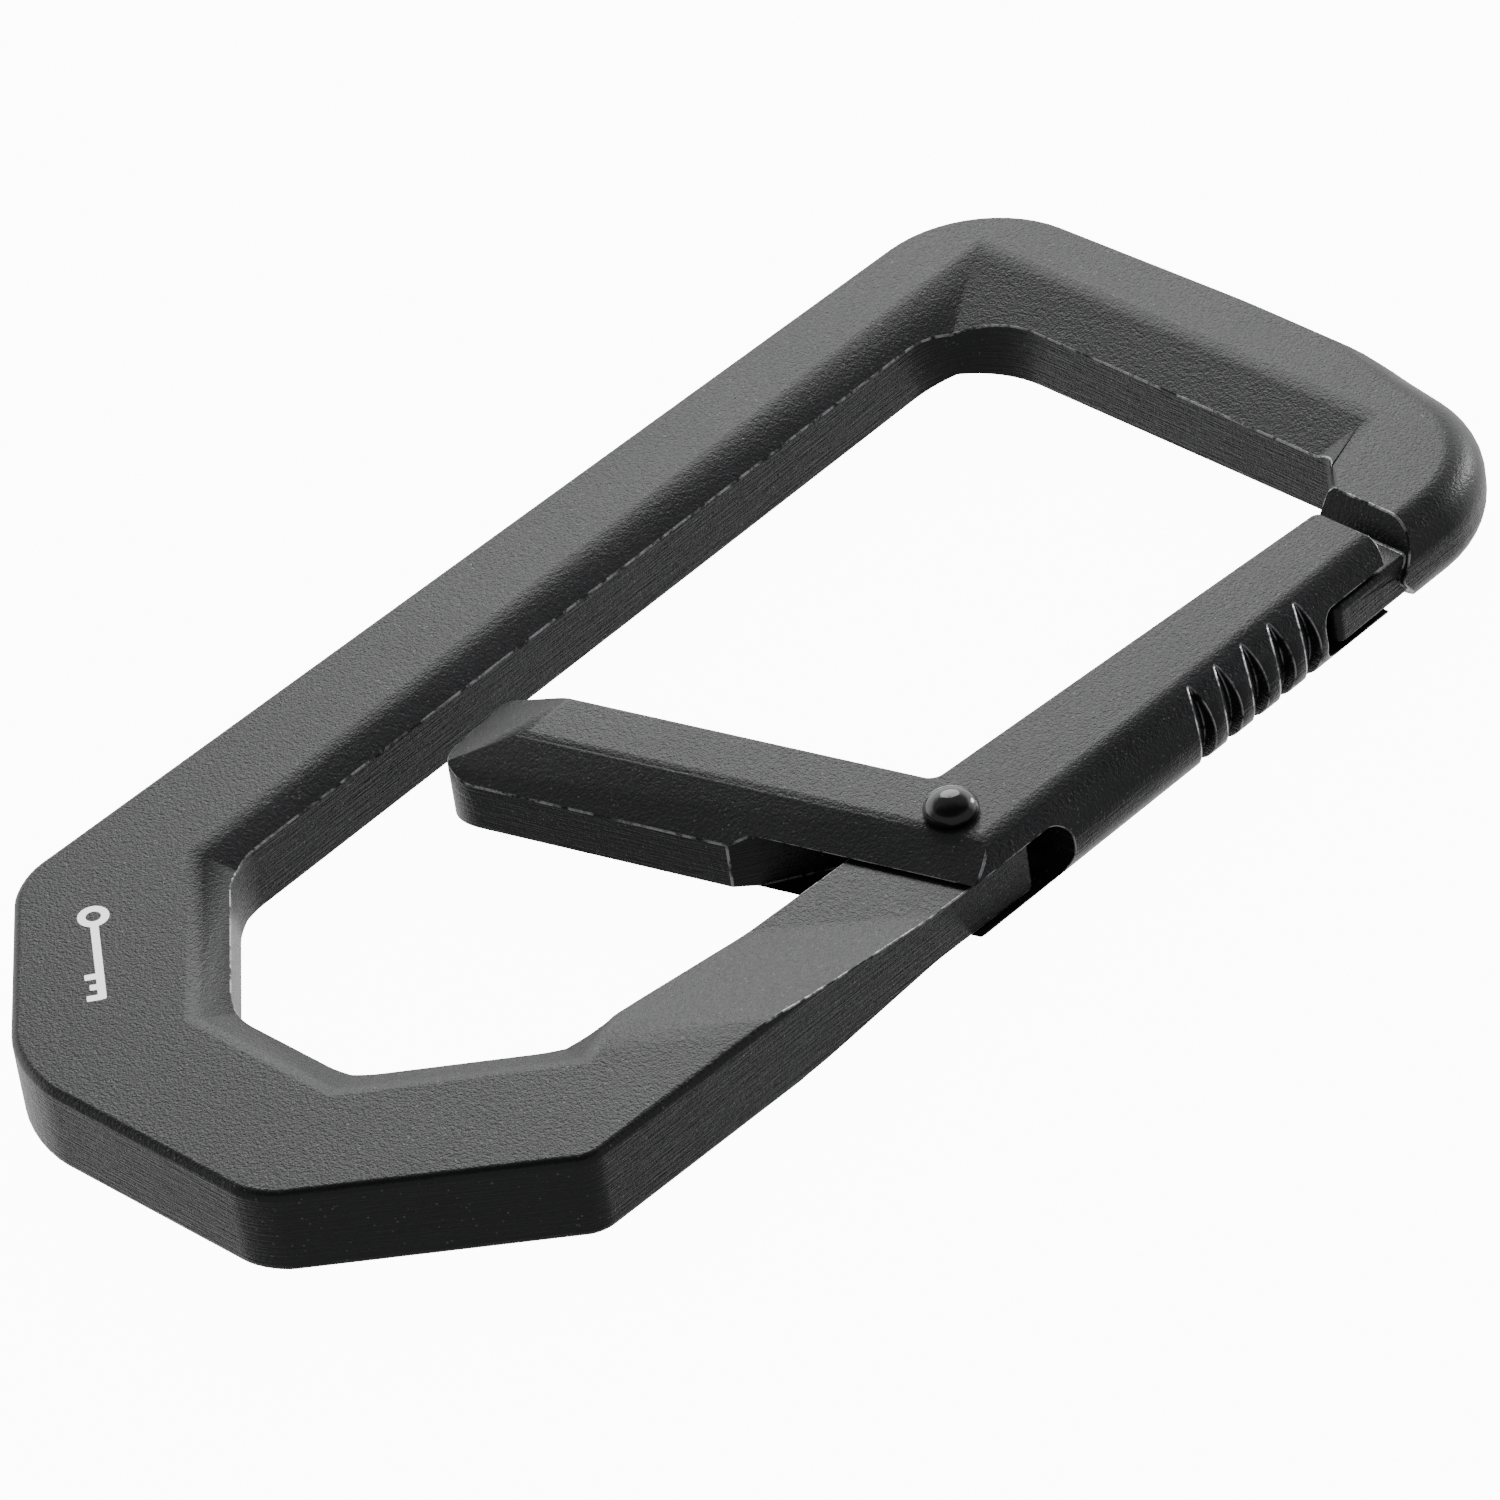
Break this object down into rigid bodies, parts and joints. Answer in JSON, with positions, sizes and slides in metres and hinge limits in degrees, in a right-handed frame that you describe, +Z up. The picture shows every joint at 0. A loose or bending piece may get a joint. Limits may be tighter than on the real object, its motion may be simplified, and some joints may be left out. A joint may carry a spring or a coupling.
{
  "type": "carabiner keyring",
  "caption": "Flat black metal carabiner keyring: an eight-sided key loop and a clip loop, opened by a sprung L-shaped thumb lever on a rivet.",
  "frame": {"origin": "centre of the keyring's outline, on the flat underside it rests on", "axes": "+X from the key loop's end towards the clip loop's nose; +Y from the thumb-lever side towards the closed spine; +Z up out of the face with the pin's domed head"},
  "size_m": [0.079, 0.039, 0.0059],
  "materials": {
    "frame_metal": "fine bead-blasted black hard coat with a satin sheen",
    "lever_metal": "fine bead-blasted black hard coat, bare bright rims on the finger grooves",
    "pin_metal": "glossy black",
    "plunger_steel": "turned",
    "spring_steel": "drawn wire"
  },
  "bodies": {
    "frame_body": {"frame": "frame_metal", "hinge_pin": "pin_metal"},
    "lever_body": {"gate_lever": "lever_metal", "gate_spring": "spring_steel"},
    "plunger_body": {"gate_plunger": "plunger_steel"}
  },
  "joints": [
    {"name": "gate_hinge", "type": "hinge", "parent": "frame_body", "child": "lever_body", "pos_m": [0.0001, -0.01496, 0.0024], "axis": [0, 0, 1], "range_deg": [0, 30], "stiffness_Nm_per_rad": 0.08, "springref_deg": -22.92},
    {"name": "plunger_slide", "type": "slide", "parent": "lever_body", "child": "plunger_body", "axis": [1, 0, 0], "range_m": [0, 0.00035], "deforming": ["gate_spring"]}
  ],
  "couplings": [
    {"joint": "plunger_slide", "follows": "gate_hinge", "m_per_rad": 0.0006}
  ]
}
